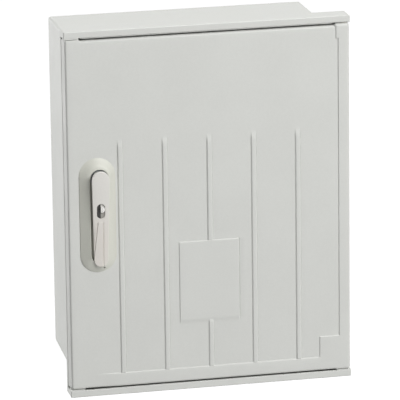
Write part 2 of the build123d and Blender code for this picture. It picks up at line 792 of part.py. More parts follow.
# One STEP file for each piece
pieces = [
    body_shell.part,
    door_panel.part,
    door_seal.part,
    hinge_bush_upper,
    hinge_bush_lower,
    hinge_pin_upper,
    hinge_pin_lower,
    handle_housing.part,
    housing_screws.part,
    handle_lever.part,
    lever_pin.part,
    lock_cylinder.part,
    key_plug.part,
    lock_catch.part,
    spindle.part,
    spindle_bush.part,
    latch_cam.part,
    cam_washer.part,
    cam_screw.part,
    latch_keeper.part,
    keeper_screws.part,
    mounting_plate.part,
    plate_inserts.part,
    plate_screws.part,
]
os.makedirs("parts", exist_ok=True)
for piece in pieces:
    export_step(piece, f"parts/{piece.label}.step")
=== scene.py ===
"""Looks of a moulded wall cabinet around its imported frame. Shapes are worked out in millimetres."""

import json
import math

import bmesh
import bpy
import numpy as np
from mathutils import Matrix, Vector


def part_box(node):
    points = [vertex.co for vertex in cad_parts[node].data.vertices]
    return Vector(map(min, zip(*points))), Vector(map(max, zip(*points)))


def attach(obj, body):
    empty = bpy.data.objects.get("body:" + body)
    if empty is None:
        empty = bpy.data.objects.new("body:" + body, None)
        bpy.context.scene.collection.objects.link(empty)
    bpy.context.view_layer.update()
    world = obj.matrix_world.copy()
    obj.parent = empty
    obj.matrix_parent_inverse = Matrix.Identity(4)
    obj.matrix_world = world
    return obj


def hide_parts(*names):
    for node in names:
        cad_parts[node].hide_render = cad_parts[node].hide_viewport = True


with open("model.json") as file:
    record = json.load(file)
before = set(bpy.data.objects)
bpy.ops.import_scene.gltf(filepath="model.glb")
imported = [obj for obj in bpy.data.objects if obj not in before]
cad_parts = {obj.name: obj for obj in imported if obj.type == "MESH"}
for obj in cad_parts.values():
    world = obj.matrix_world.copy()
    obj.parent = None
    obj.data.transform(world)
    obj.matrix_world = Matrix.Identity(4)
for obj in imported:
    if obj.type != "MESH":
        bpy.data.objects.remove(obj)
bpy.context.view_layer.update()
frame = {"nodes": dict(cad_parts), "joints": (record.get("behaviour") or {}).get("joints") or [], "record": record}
MM = 0.001


def node_box(node):
    """Lowest and highest corner of a CAD node, in millimetres."""
    low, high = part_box(node)
    return np.array(low) / MM, np.array(high) / MM


# Camera fitted to the photograph; its place is in metres
camera_place = (-1.1862, -5.5551, 1.4897)
camera_yaw = math.radians(12.374)
camera_pitch = math.radians(15.0995)
camera_roll = math.radians(0.762)
camera_lens = 370.8
sensor_width = 36.0

# Floor and light: each lamp's place and width in metres, and its watts
world_light = 0.1
floor_height = -2.4
floor_half_size = 30.0
floor_tone = 0.82
floor_rough = 0.9
floor_lift = 0.9
lamp_target = (0.0, -0.1, 0.0)
lamps = {
    "front_lamp": ((2.0, -3.95, 2.8), 2.65, 257),
    "left_lamp": ((-2.5, 2.4, 0.4), 2.0, 84),
    "top_lamp": ((0.0, 0.6, 4.2), 3.0, 80),
}

# Door moulding
door_low, door_high = node_box("door_panel")
housing_low, housing_high = node_box("handle_housing")
field_front = -housing_high[1]
door_x, door_z = (door_low[[0, 2]] + door_high[[0, 2]]) / 2
relief_x = door_x - 0.1
door_wall = 4.0
door_back = -door_high[1]
door_inside = field_front - door_wall
edge_radius = 3.4
corner_radius = 4.0
left_draft = 1.5
draft_reach = 3 * edge_radius
left_skirt_extra = 2.3
skirt_extra_end = door_low[0] + 60.0
skirt_extra_ramp = 40.0
skirt_edge = 0.8
vent_half_width = 178.5
upper_vent_drop = 2.45
lower_vent_drop = 0.7
vent_step = 1.6
vent_fade = 25.0
rib_relief = 1.8
border_relief = 1.4
plateau_relief = 1.3
flank = 1.5
rib_left_flank = 2.3
rib_right_flank = 0.6
rib_quirk = 0.5
plateau_quirk = 0.9
quirk_wall = 0.3
quirk_width = 1.6
rib_count = 5
rib_pitch = 62.5
rib_width = 7.3
rib_top = door_high[2] - 142.0
rib_ramp = 14.0
plateau_x = relief_x - 1.7
plateau_half_width = 42.5
plateau_half_height = 59.5
plateau_z = door_z - 105.5
plateau_foot = 8.0
plateau_right_flank = 0.5
stile_left = door_high[0] - 16.6
block_left = door_high[0] - 19.7
block_bottom = door_high[2] - 21.0
rail_top = door_low[2] + 20.7
corner_left = stile_left - 28.2
corner_top = rail_top + 29.8
rail_ramp_start = door_low[0] + 34.0
rail_ramp = 42.0
door_hinge = next(joint for joint in frame["joints"] if joint["name"] == "door_hinge")
hinge_x, hinge_y = np.array(door_hinge["pos_m"][:2]) / MM
hinge_boss_radius = door_high[0] - hinge_x
hinge_boss_length = 29.0
hinge_boss_edge = 0.5

# Lip, sill and tub
shell_low, shell_high = node_box("body_shell")
lip_bottom = shell_high[2] - 9.5
sill_top = shell_low[2] + 9.5
bead_front = -shell_low[1] - 3.0
bead_depth = 1.8
bead_height = 1.3
bead_taper = 6.0
bush_front = -node_box("hinge_bush_lower")[0][1]
bush_clearance = 0.2
land_height = 1.25
land_front = -shell_low[1] - 0.4
land_rear = land_front - 14.0
land_in = vent_half_width + 2.0
land_out = shell_high[0] - 2.0
tub_half_width = shell_high[0] - 18.0
tub_bottom = shell_low[2] + 20.0
tub_depth = 182.0
tub_corner = 4.0
tub_corner_lead = 1.2
back_chamfer = 1.0
underside_lap = 4.5
underside_proud = 0.03
underside_drop = 1.6
underside_slope = 0.072

# Lever and lock
lever_low, lever_high = node_box("handle_lever")
lock_low, lock_high = node_box("lock_cylinder")
lever_x = (lever_low[0] + lever_high[0]) / 2
hub_radius = (lever_high[0] - lever_low[0]) / 2
hub_z = lever_high[2] - hub_radius
tip_radius = 9.9
tip_z = lever_low[2] + tip_radius
side_lean = np.arcsin((hub_radius - tip_radius) / (hub_z - tip_z))
lever_back = -lever_high[1]
lever_front = -lever_low[1]
lever_edge = 1.0
lever_edge_share = 0.6
lever_undercut = 2.6
top_undercut = 0.9
lever_crown = 0.7
tip_thickness = 1.2
slope_top = hub_z - 8.0
slope_bend = 4.0
grip_top = hub_z - 58.0
grip_right = 3.2
grip_left = 4.5
grip_left_slant = 0.11
grip_relief = 0.45
grip_fade = 3.0
grip_facet = 0.5
grip_facet_length = 36.0
groove_depth = 0.9
groove_half_width = 0.95
tongue_slot_half_width = 5.6
tongue_slot_bottom = hub_z + 4.0
tongue_slot_height = 4.0
hollow_top = hub_z - 19.0
hollow_top_radius = 9.0
hollow_end = hub_z - 62.0
hollow_end_radius = 6.5
hollow_height = 4.0
lock_z = (lock_low[2] + lock_high[2]) / 2
lock_half_width = 5.8
lock_half_length = 10.55

# Handle housing
handle_x = (housing_low[0] + housing_high[0]) / 2
housing_radius = (housing_high[0] - housing_low[0]) / 2
housing_front = -housing_low[1]
pocket_floor = field_front + 3.0
pocket_x = lever_x + 0.15
pocket_radius = hub_radius + 0.45
pocket_tip = (lever_x - 3.4, lever_low[2] + 16.7)
pocket_tip_radius = 10.2
pocket_edge = 0.6
crest_width = 1.2
crest_stretch = 6.5
crest_stretch_start = 0.6
crest_lift = 1.4
crest_lift_start = 0.1
crest_edge = 0.5
flank_power = 1.4
flank_power_side = 0.4
flank_power_below = 0.5
top_flank_power = 1.5
top_flank_fade = 20.0
foot_wall = 0.8
foot_wall_share = 0.05
spindle_hole_radius = 12.3
spindle_hole_stretch = 0.02
bush_hole_radius = 7.05
screw_hole_radius = 2.3
screw_hole_edge = 8.0
seal_hole_x = handle_x + 7.5
seal_hole_z = housing_low[2] + 7.0
seal_hole_radius = 1.3
seal_hole_depth = 3.0

# Finishes: scales are patches per metre
noise_low = 0.3
noise_high = 0.7
cloud_scale = 14
cloud_dark = 0.965
mottle_scale = 420
mottle_dark = 0.97
moulding_light = 1.02
moulding_specular = 0.4
moulding_grain = 900
metal_dark = 0.86
metal_grain = 1500
polymer_dark = 0.85
grip_tone_low = grip_top - 30.0
grip_tone_high = grip_top + 40.0
# Painted shade over the lock's left half, where the plug's shadow falls
painted_shade_edge = lever_x - 0.2
painted_shade_blur = 0.6
painted_shade_dark = 0.85
# Painted shade on the lock's face below, going lighter towards the lit top
lock_shade_low = lock_z - 2.0
lock_shade_high = lock_z + 5.0
lock_mottle = 400
lock_grain = 800

# Fineness of the meshes
SMOOTH_ANGLE = math.radians(35)
MERGE_DISTANCE = 0.005
SLIVER_LENGTH = 0.004
CUT_PAST = 1.0
ARC_POINTS = 96
SIDE_POINTS = 60
HOLE_POINTS = 64
ROD_POINTS = 48
BEAD_POINTS = 24
CORNER_POINTS = 13
DOOR_SPACING = 9.0
STEP_LINES = 9
STEP_OVER = 0.1
RAMP_LINES = 7
QUIRK_WALL_LINES = 4
QUIRK_LINES = 5
FLANK_ROWS = 25
CREST_ROWS = 6
FLOOR_ROWS = 5
LEVER_END_ROWS = 25
LEVER_SIDE_ROWS = 40
LEVER_SPANS = (6, 4, 4, 4, 8, 4, 4, 8, 6)
GRIP_SHARE = 0.8
RIM_SHARE = 0.1
GROOVE_SHARE = 0.09


def soft_step(value):
    """0 below 0, 1 above 1, and 3t^2 - 2t^3 between."""
    t = np.clip(value, 0, 1)
    return t * t * (3 - 2 * t)


def grid_lines(low, high, marks, widest):
    """Lines from low to high through the marks between them, to 0.01 mm, with even fillers in wide gaps."""
    lines = np.concatenate([[low, high], *(np.ravel(mark) for mark in marks)])
    lines = np.unique(np.round(lines[(lines >= low) & (lines <= high)], 2))
    fills = [
        np.linspace(start, end, int(np.ceil((end - start) / widest)), endpoint=False)
        for start, end in zip(lines[:-1], lines[1:])
    ]
    return np.append(np.concatenate(fills), lines[-1])


def grid_faces(rows, columns, wrap):
    """Corners of the quads between neighbouring points; wrap joins the last column to the first."""
    index = np.arange(rows * columns).reshape(rows, columns)
    if wrap:
        index = np.concatenate([index, index[:, :1]], axis=1)
    corners = [index[:-1, :-1], index[:-1, 1:], index[1:, 1:], index[1:, :-1]]
    return np.stack(corners, axis=-1).reshape(-1, 4)


def grid_border(grid):
    """The outer loop of a grid of points, once round."""
    return np.concatenate([grid[:-1, 0], grid[-1, :-1], grid[:0:-1, -1], grid[0, :0:-1]])


def closed_mesh(name, surfaces, caps):
    """Joins grids of points, each with its wrap, and flat end loops into one closed mesh."""
    points, faces, start = [], [], 0
    for grid, wrap in surfaces:
        points.append(grid.reshape(-1, 3))
        faces += (grid_faces(grid.shape[0], grid.shape[1], wrap) + start).tolist()
        start += grid.shape[0] * grid.shape[1]
    for loop in caps:
        points.append(loop)
        faces.append(list(range(start, start + len(loop))))
        start += len(loop)
    mesh = bpy.data.meshes.new(name)
    mesh.from_pydata((np.concatenate(points) * MM).tolist(), [], faces)
    shape = bmesh.new()
    shape.from_mesh(mesh)
    bmesh.ops.remove_doubles(shape, verts=shape.verts, dist=MERGE_DISTANCE * MM)
    bmesh.ops.dissolve_degenerate(shape, edges=shape.edges, dist=SLIVER_LENGTH * MM)
    bmesh.ops.recalc_face_normals(shape, faces=shape.faces)
    shape.to_mesh(mesh)
    shape.free()
    return mesh


def capsule(upper, upper_radius, lower, lower_radius):
    """Loop of (x, z) round two circles and their outer tangents: over the upper, then under the lower."""
    upper, lower = np.asarray(upper), np.asarray(lower)
    down, across = (lower - upper)[1], (lower - upper)[0]
    base = np.arctan2(down, across)
    spread = np.arccos((upper_radius - lower_radius) / np.hypot(down, across))
    over = np.linspace(base + spread, base - spread + 2 * np.pi, ARC_POINTS)
    under = np.linspace(base - spread, base + spread, ARC_POINTS)
    side = np.linspace(0, 1, SIDE_POINTS + 2)[1:-1, None]
    top = upper + upper_radius * np.column_stack([np.cos(over), np.sin(over)])
    bottom = lower + lower_radius * np.column_stack([np.cos(under), np.sin(under)])
    left = top[-1] + side * (bottom[0] - top[-1])
    right = bottom[-1] + side * (top[0] - bottom[-1])
    return np.concatenate([top, left, bottom, right])


def full_turn(count):
    """Even angles once round."""
    return np.linspace(0, 2 * np.pi, count, endpoint=False)


def circle(x, z, radius):
    """Loop of (x, z) round one circle."""
    angle = full_turn(HOLE_POINTS)
    return np.column_stack([x + radius * np.cos(angle), z + radius * np.sin(angle)])


def between(outer, inner, shares):
    """Loops that run from one outline to another: each is outer + share * (inner - outer)."""
    return outer + np.asarray(shares)[:, None, None] * (inner - outer)


def raised(loops, front):
    """Loops of (x, z) as points, with y at minus the distance of the front from the wall."""
    front = np.broadcast_to(front, loops.shape[:2])
    return np.stack([loops[..., 0], -front, loops[..., 1]], axis=-1)


def prism(loop, rear, front):
    """Closed mesh of a loop of (x, z) carried along y between two distances from the wall."""
    rows = raised(np.stack([loop, loop]), np.array([[rear], [front]]))
    return closed_mesh("prism", [(rows, True)], [rows[0], rows[1]])


def carved(mesh, added, removed):
    """The mesh joined with the added meshes and cut by the removed ones."""
    operands = [("UNION", extra) for extra in added] + [("DIFFERENCE", tool) for tool in removed]
    body = bpy.data.objects.new("carved", mesh)
    bpy.context.scene.collection.objects.link(body)
    helpers = []
    for operation, operand in operands:
        helper = bpy.data.objects.new("operand", operand)
        bpy.context.scene.collection.objects.link(helper)
        helpers.append(helper)
        modifier = body.modifiers.new(operation, "BOOLEAN")
        modifier.operation = operation
        modifier.object = helper
    result = bpy.data.meshes.new_from_object(body.evaluated_get(bpy.context.evaluated_depsgraph_get()))
    for used in (body, *helpers):
        bpy.data.objects.remove(used)
    return result


# Materials


def node_material(name):
    """A new material and its node tree, which holds the main shader and the coordinates."""
    material = bpy.data.materials.new(name)
    material.use_nodes = True
    material.node_tree.nodes.new("ShaderNodeTexCoord")
    return material, material.node_tree


def feed(tree, socket, value):
    """Links a socket to another node's output, or sets it to a colour or a number."""
    if isinstance(value, bpy.types.NodeSocket):
        tree.links.new(value, socket)
    elif isinstance(value, tuple):
        socket.default_value = (*value, 1)
    else:
        socket.default_value = value


def feed_shader(tree, values):
    """Feeds sockets of the main shader by their labels."""
    for label, value in values.items():
        feed(tree, tree.nodes["Principled BSDF"].inputs[label], value)


def noise(tree, scale, detail):
    """Noise whose patches are about 1 / scale metres across."""
    texture = tree.nodes.new("ShaderNodeTexNoise")
    texture.inputs["Scale"].default_value = scale
    texture.inputs["Detail"].default_value = detail
    tree.links.new(tree.nodes["Texture Coordinate"].outputs["Object"], texture.inputs["Vector"])
    return texture.outputs["Fac"]


def ranged(tree, value, low=0, high=1):
    """The middle of a noise's values spread over low to high."""
    spread = tree.nodes.new("ShaderNodeMapRange")
    spread.inputs["From Min"].default_value = noise_low
    spread.inputs["From Max"].default_value = noise_high
    spread.inputs["To Min"].default_value = low
    spread.inputs["To Max"].default_value = high
    tree.links.new(value, spread.inputs["Value"])
    return spread.outputs["Result"]


def past_line(tree, axis, start, end):
    """0 to 1 as the Object coordinate along an axis goes from start to end, in millimetres."""
    along = tree.nodes.new("ShaderNodeVectorMath")
    along.operation = "DOT_PRODUCT"
    along.inputs[1].default_value = axis
    tree.links.new(tree.nodes["Texture Coordinate"].outputs["Object"], along.inputs[0])
    spread = tree.nodes.new("ShaderNodeMapRange")
    spread.interpolation_type = "SMOOTHSTEP"
    spread.inputs["From Min"].default_value = start * MM
    spread.inputs["From Max"].default_value = end * MM
    tree.links.new(along.outputs["Value"], spread.inputs["Value"])
    return spread.outputs["Result"]


def blended(tree, value, first, second):
    """Colour that goes from the first to the second as the value goes from 0 to 1.

    The node has its colours at inputs 6 and 7 and at output 2.
    """
    mix = tree.nodes.new("ShaderNodeMix")
    mix.data_type = "RGBA"
    feed(tree, mix.inputs["Factor"], value)
    feed(tree, mix.inputs[6], first)
    feed(tree, mix.inputs[7], second)
    return mix.outputs[2]


def bumped(tree, height, strength, distance):
    """Normal of a fine relief: the height times the distance in metres, shown at a strength."""
    bump = tree.nodes.new("ShaderNodeBump")
    bump.inputs["Strength"].default_value = strength
    bump.inputs["Distance"].default_value = distance
    tree.links.new(height, bump.inputs["Height"])
    return bump.outputs["Normal"]


def linear(red, green, blue):
    """Linear colour of an sRGB colour given from 0 to 255."""
    share = np.array([red, green, blue]) / 255
    return tuple(np.where(share <= 0.04045, share / 12.92, ((share + 0.055) / 1.055) ** 2.4))


def toned(colour, share):
    """The colour times a share, up to white."""
    return tuple(min(share * c, 1) for c in colour)


def moulded_polyester(name, colour, rough, grip_colour=None):
    """Glass-filled moulding: faint clouds of flow, fine fibre mottling, a satin grain and a handled grip."""
    material, tree = node_material(name)
    clouds = ranged(tree, noise(tree, cloud_scale, detail=3))
    mottle = ranged(tree, noise(tree, mottle_scale, detail=2))

    def mottled(tone):
        """The tone with its clouds and its fibre mottling, half and half."""
        light = toned(tone, moulding_light)
        cloudy = blended(tree, clouds, toned(tone, cloud_dark), light)
        speckle = blended(tree, mottle, toned(tone, mottle_dark), light)
        return blended(tree, 0.5, cloudy, speckle)

    tone = mottled(colour)
    if grip_colour:
        to_hub = past_line(tree, (0, 0, 1), grip_tone_low, grip_tone_high)
        tone = blended(tree, to_hub, mottled(grip_colour), tone)
    values = {
        "Base Color": tone,
        "Roughness": ranged(tree, clouds, rough - 0.05, rough + 0.06),
        "Specular IOR Level": moulding_specular,
        "Normal": bumped(tree, noise(tree, moulding_grain, detail=3), strength=0.12, distance=0.0002),
    }
    feed_shader(tree, values)
    return material


def plated_metal(name, colour, rough, patch_scale):
    """Plated metal: a plain metallic shader with patches of colour and roughness and a fine grain."""
    material, tree = node_material(name)
    patches = ranged(tree, noise(tree, patch_scale, detail=4))
    values = {
        "Base Color": blended(tree, patches, toned(colour, metal_dark), colour),
        "Roughness": ranged(tree, patches, rough - 0.06, rough + 0.08),
        "Metallic": 1,
        "Normal": bumped(tree, noise(tree, metal_grain, detail=2), strength=0.05, distance=0.0001),
    }
    feed_shader(tree, values)
    return material


def plain_polymer(name, colour, rough, spot_scale):
    """Nylon or rubber: one tone with small spots, and a grain half their size."""
    material, tree = node_material(name)
    spots = ranged(tree, noise(tree, spot_scale, detail=3))
    values = {
        "Base Color": blended(tree, spots, toned(colour, polymer_dark), colour),
        "Roughness": rough,
        "Normal": bumped(tree, noise(tree, 2 * spot_scale, detail=2), strength=0.2, distance=0.0002),
    }
    feed_shader(tree, values)
    return material


def lock_face(name, shade_tone, lower, upper, metallic, rough):
    """Lock: dark painted shade over its left half, where the plug's shadow falls, and to the right its face, with
    painted shade making it darker below than above.
    """
    material, tree = node_material(name)
    # painted shade: dark to the left of this line, the lock's face to the right
    unshaded = past_line(tree, (1, 0, 0), painted_shade_edge - painted_shade_blur, painted_shade_edge + painted_shade_blur)
    # painted shade: the face is darker below and lighter above
    lit_above = past_line(tree, (0, 0, 1), lock_shade_low, lock_shade_high)
    mottle = ranged(tree, noise(tree, lock_mottle, detail=3))
    dark = blended(tree, mottle, toned(shade_tone, painted_shade_dark), shade_tone)
    pale = blended(tree, lit_above, lower, upper)
    values = {
        "Base Color": blended(tree, unshaded, dark, pale),
        "Roughness": ranged(tree, mottle, rough - 0.06, rough + 0.06),
        "Metallic": metallic,
        "Normal": bumped(tree, noise(tree, lock_grain, detail=2), strength=0.2, distance=0.0002),
    }
    feed_shader(tree, values)
    return material


finishes = {
    "moulded_grey": moulded_polyester("moulded_grey", linear(208, 209, 205), rough=0.5),
    "handle_grey": moulded_polyester("handle_grey", linear(204, 204.5, 195), rough=0.46),
    "lever_grey": moulded_polyester(
        "lever_grey",
        linear(217, 215, 210),
        rough=0.42,
        grip_colour=linear(216, 211.5, 205),
    ),
    "lock_metal": lock_face(
        "lock_metal",
        # the first tone is painted shade over the left half
        shade_tone=linear(60, 60, 58),
        # lower is painted shade below, upper is the face as lit from above
        lower=linear(212, 211, 208),
        upper=linear(222, 221, 218),
        metallic=1,
        rough=0.25,
    ),
    "lock_black": lock_face(
        "lock_black",
        # the first tone is painted shade over the left half
        shade_tone=linear(38, 37, 36),
        # lower is painted shade below, upper is the face as lit from above
        lower=linear(150, 148, 142),
        upper=linear(205, 204, 199),
        metallic=0,
        rough=0.5,
    ),
    "zinc_steel": plated_metal("zinc_steel", linear(190, 193, 196), rough=0.34, patch_scale=60),
    "nylon": plain_polymer("nylon", linear(217, 214, 204), rough=0.45, spot_scale=500),
    "seal_rubber": plain_polymer("seal_rubber", linear(42, 42, 43), rough=0.75, spot_scale=700),
    "insert_brass": plated_metal("insert_brass", linear(196, 160, 92), rough=0.3, patch_scale=200),
}
for part in frame["record"]["subparts"]:
    for material_slot in frame["nodes"][part["node"]].material_slots:
        material_slot.material = finishes[part["material_slot"]]


def make_piece(name, mesh, body, slot, replaced=None, finish=None):
    """Puts a mesh on a body, in place of a CAD node if one is named, smooth but for its sharp edges.

    Its material is the slot's own, unless another finish is named.
    """
    mesh.shade_smooth()
    mesh.set_sharp_from_angle(angle=SMOOTH_ANGLE)
    mesh.materials.append(finishes[finish or slot])
    piece = bpy.data.objects.new(name, mesh)
    bpy.context.scene.collection.objects.link(piece)
    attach(piece, body)
    if replaced:
        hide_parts(replaced)


# Door


def door_edges(x):
    """Lower and upper edge of the door at x: both step towards the middle along the vents."""
    inside = soft_step((vent_half_width - np.abs(x)) / vent_step + 0.5)
    return door_low[2] + lower_vent_drop * inside, door_high[2] - upper_vent_drop * inside


def quirk(beside):
    """1 in the fine groove that follows an edge at its right: down over its wall, then a soft rise."""
    return soft_step(beside / quirk_wall) * (1 - soft_step((beside - quirk_wall) / quirk_width))


def door_relief(x, z):
    """Height over the field: the largest of border, ribs and plateau, less the fine grooves.

    Each is a soft step, and the ribs end where the border or the plateau begins.
    """
    stile = soft_step((x - stile_left) / flank)
    block = soft_step(np.minimum(x - block_left, z - block_bottom) / flank)
    corner = soft_step(np.minimum(x - corner_left, corner_top - z) / flank)
    rail = soft_step((rail_top - z) / flank) * soft_step((x - rail_ramp_start) / rail_ramp)
    border = np.maximum.reduce([stile, block, corner, rail])

    beside_plateau = np.abs(x - plateau_x) - plateau_half_width
    plateau_height = soft_step((z - plateau_z + plateau_half_height) / plateau_foot)
    plateau_height = plateau_height * soft_step((plateau_z + plateau_half_height - z) / flank)
    plateau_side = np.where(x < plateau_x, flank, plateau_right_flank)
    plateau = plateau_height * soft_step(-beside_plateau / plateau_side)

    beside_rib = (x - relief_x + rib_pitch / 2) % rib_pitch - rib_pitch / 2
    in_row = np.abs(x - relief_x) < rib_count / 2 * rib_pitch
    rib_height = in_row * soft_step((rib_top - z) / rib_ramp) * (1 - border) * (1 - plateau)
    rib_left = soft_step((rib_width / 2 + beside_rib) / rib_left_flank)
    rib_right = soft_step((rib_width / 2 - beside_rib) / rib_right_flank)
    rib = rib_relief * rib_height * rib_left * rib_right

    rib_groove = rib_quirk * rib_height * quirk(beside_rib - rib_width / 2) * (plateau == 0)
    plateau_groove = plateau_quirk * plateau_height * quirk(x - plateau_x - plateau_half_width)
    groove = np.maximum(rib_groove, plateau_groove)
    return np.maximum.reduce([border_relief * border, rib, plateau_relief * plateau]) - groove


def round_corners(x, z):
    """Draws the square corners of the grid in to arcs, and gives each point's distance inside the edge.

    In a corner, (a, b) from 0 to 1 each way becomes (a sqrt(1 - b^2/2), b sqrt(1 - a^2/2)).
    """
    lower, upper = door_edges(x)
    half_x = (door_high[0] - door_low[0]) / 2 - corner_radius
    half_z = (upper - lower) / 2 - corner_radius
    middle_z = (upper + lower) / 2
    a = np.clip((np.abs(x - door_x) - half_x) / corner_radius, 0, 1)
    b = np.clip((np.abs(z - middle_z) - half_z) / corner_radius, 0, 1)
    moved_a = a * np.sqrt(1 - b * b / 2) - a
    moved_b = b * np.sqrt(1 - a * a / 2) - b
    inset = corner_radius * (1 - np.hypot(a + moved_a, b + moved_b))
    from_edge = np.minimum.reduce([x - door_low[0], door_high[0] - x, z - lower, upper - z])
    inset = np.where((a > 0) & (b > 0), inset, from_edge)
    return (
        x + np.sign(x - door_x) * corner_radius * moved_a,
        z + np.sign(z - middle_z) * corner_radius * moved_b,
        inset,
    )


def door_lines():
    """Grid lines in x and z that follow each step, ramp and rounded edge of the door's face."""
    quarter = edge_radius * (1 - np.cos(np.linspace(0, np.pi / 2, STEP_LINES)))
    share = np.linspace(-STEP_OVER, 1 + STEP_OVER, STEP_LINES)
    step = flank * share
    long_ramp = np.linspace(0, 1, STEP_LINES)
    short_ramp = np.linspace(0, 1, RAMP_LINES)
    groove_wall = quirk_wall * np.linspace(0, 1, QUIRK_WALL_LINES)
    groove_rise = quirk_wall + quirk_width * np.linspace(1 / QUIRK_LINES, 1, QUIRK_LINES)
    groove = np.append(groove_wall, groove_rise)
    rib_middles = relief_x + rib_pitch * (np.arange(rib_count) - (rib_count - 1) / 2)
    rib_lefts, rib_rights = rib_middles - rib_width / 2, rib_middles + rib_width / 2
    plateau_left, plateau_right = plateau_x - plateau_half_width, plateau_x + plateau_half_width
    plateau_bottom, plateau_top = plateau_z - plateau_half_height, plateau_z + plateau_half_height
    vent_ends = vent_half_width + vent_step * np.linspace(-0.5 - STEP_OVER, 0.5 + STEP_OVER, RAMP_LINES)
    marks_x = [
        np.add.outer([stile_left, block_left, corner_left, plateau_left], step),
        plateau_right - plateau_right_flank * share,
        np.add.outer(rib_lefts, rib_left_flank * share),
        np.subtract.outer(rib_rights, rib_right_flank * share),
        np.add.outer([plateau_right, *rib_rights], groove),
        vent_ends,
        -vent_ends,
        rail_ramp_start + rail_ramp * long_ramp,
        door_low[0] + quarter,
        door_high[0] - quarter,
    ]
    marks_z = [
        block_bottom + step,
        plateau_bottom + plateau_foot * short_ramp,
        np.subtract.outer([corner_top, rail_top, plateau_top], step),
        rib_top - rib_ramp * long_ramp,
        door_low[2] + quarter,
        door_high[2] - quarter,
    ]
    return (
        grid_lines(door_low[0], door_high[0], marks_x, DOOR_SPACING),
        grid_lines(door_low[2], door_high[2], marks_z, DOOR_SPACING),
    )


def door_front(draft):
    """Grid over the face: y is minus the sum of field and relief, less the drop of the edge's quarter round.

    Rows near the top and the bottom follow the vents, and the left edge leans in by the draft.
    """
    x, z = np.meshgrid(*door_lines(), indexing="ij")
    lower, upper = door_edges(x)
    near_top = soft_step((z - door_high[2]) / vent_fade + 1)
    near_bottom = soft_step((door_low[2] - z) / vent_fade + 1)
    z = z + (upper - door_high[2]) * near_top + (lower - door_low[2]) * near_bottom
    x, z, inset = round_corners(x, z)
    rounding = np.clip(edge_radius - inset, 0, edge_radius)
    drop = edge_radius - np.sqrt(edge_radius**2 - rounding**2)
    leaned = x + draft * soft_step((door_low[0] - x) / draft_reach + 1)
    return np.stack([leaned, -(field_front + door_relief(x, z) - drop), z], axis=-1)


def drawn_in(loop, distance, front):
    """The door's edge loop drawn in by a distance, at a distance from the wall."""
    lower, upper = door_edges(loop[:, 0])
    x = np.clip(loop[:, 0], door_low[0] + distance, door_high[0] - distance)
    z = np.clip(loop[:, 2], lower + distance, upper - distance)
    return np.stack([x, np.broadcast_to(-front, x.shape), z], axis=-1)


def skirt_loops(leaned_rim, rim):
    """Loops down the outside of the skirt, round its rear edge and up its inside to the door's inner face.

    The skirt is deeper at the left by a soft step.
    """
    rear = door_back - left_skirt_extra * soft_step((skirt_extra_end - rim[:, 0]) / skirt_extra_ramp)
    return np.stack(
        [
            leaned_rim,
            drawn_in(rim, 0, rear + skirt_edge),
            drawn_in(rim, skirt_edge, rear),
            drawn_in(rim, door_wall - skirt_edge, rear),
            drawn_in(rim, door_wall, rear + skirt_edge),
            drawn_in(rim, door_wall, door_inside - skirt_edge),
            drawn_in(rim, door_wall + skirt_edge, door_inside),
        ]
    )


def hinge_boss(low):
    """Rod along z on the hinge: rings that widen from its lower end, rise straight and close in above."""
    angle = full_turn(ROD_POINTS)
    high = low + hinge_boss_length
    inner = hinge_boss_radius - hinge_boss_edge
    heights = np.array([low, low + hinge_boss_edge, high - hinge_boss_edge, high])
    radii = np.array([inner, hinge_boss_radius, hinge_boss_radius, inner])
    rings = np.stack(
        [
            hinge_x + radii[:, None] * np.cos(angle),
            hinge_y + radii[:, None] * np.sin(angle),
            np.repeat(heights[:, None], len(angle), axis=1),
        ],
        axis=-1,
    )
    return closed_mesh("hinge_boss", [(rings, True)], [rings[0], rings[-1]])


seal_hole = circle(seal_hole_x, seal_hole_z, seal_hole_radius)
screw_places = (housing_low[2] + screw_hole_edge, housing_high[2] - screw_hole_edge)
through_holes = [circle(lever_x, hub_z, bush_hole_radius)]
through_holes += [circle(handle_x, place, screw_hole_radius) for place in screw_places]
door_holes = [prism(hole, door_inside - CUT_PAST, field_front + CUT_PAST) for hole in through_holes]
door_holes.append(prism(seal_hole, field_front - seal_hole_depth, field_front + CUT_PAST))
face = door_front(left_draft)
skirt = skirt_loops(grid_border(face), grid_border(door_front(0)))
make_piece(
    "door_moulding",
    carved(
        closed_mesh("door_moulding", [(face, False), (skirt, True)], [skirt[-1]]),
        [hinge_boss(low) for low in (door_low[2], door_high[2] - hinge_boss_length)],
        door_holes,
    ),
    "door",
    "moulded_grey",
    replaced="door_panel",
)


# Bead and lands of the lip and sill, and the tub's underside


def lip_bead():
    """Bead along x, half sunk under the lip's front edge: ellipses that shrink to a point at both ends."""
    taper = np.linspace(0, bead_taper, RAMP_LINES)
    along = np.append(taper, vent_half_width - bead_taper)
    along = np.concatenate([along - vent_half_width, (vent_half_width - along)[::-1]])
    share = np.sqrt(soft_step((vent_half_width - np.abs(along)) / bead_taper))
    angle = full_turn(BEAD_POINTS)
    y = -bead_front + bead_depth * np.outer(share, np.cos(angle))
    z = lip_bottom - bead_height * np.outer(share, np.sin(angle))
    rings = np.stack([np.repeat(along[:, None], len(angle), axis=1), y, z], axis=-1)
    return closed_mesh("lip_bead", [(rings, True)], [])


def land(start, end, z, rear):
    """Low bar with round ends along x, half sunk in the face of lip or sill at a height."""
    loop = capsule((start, z), land_height, (end, z), land_height)
    return prism(loop, rear, land_front)


def trough(inset, bottom):
    """Loop of (x, z): down one side of the tub, round its lower corner, across, and up the other side."""
    half = tub_half_width + underside_proud - inset
    turn = np.linspace(0, np.pi / 2, CORNER_POINTS)
    arc_x = np.concatenate([[0, 0], 1 - np.cos(turn), [tub_corner_lead]]) * tub_corner
    arc_z = np.concatenate([[0, tub_corner_lead], 1 - np.sin(turn), [0]]) * tub_corner
    left = np.column_stack([arc_x - half, bottom + inset + arc_z])
    left[0, 1] = tub_bottom + underside_lap
    return np.concatenate([left, (left * [-1, 1])[::-1]])


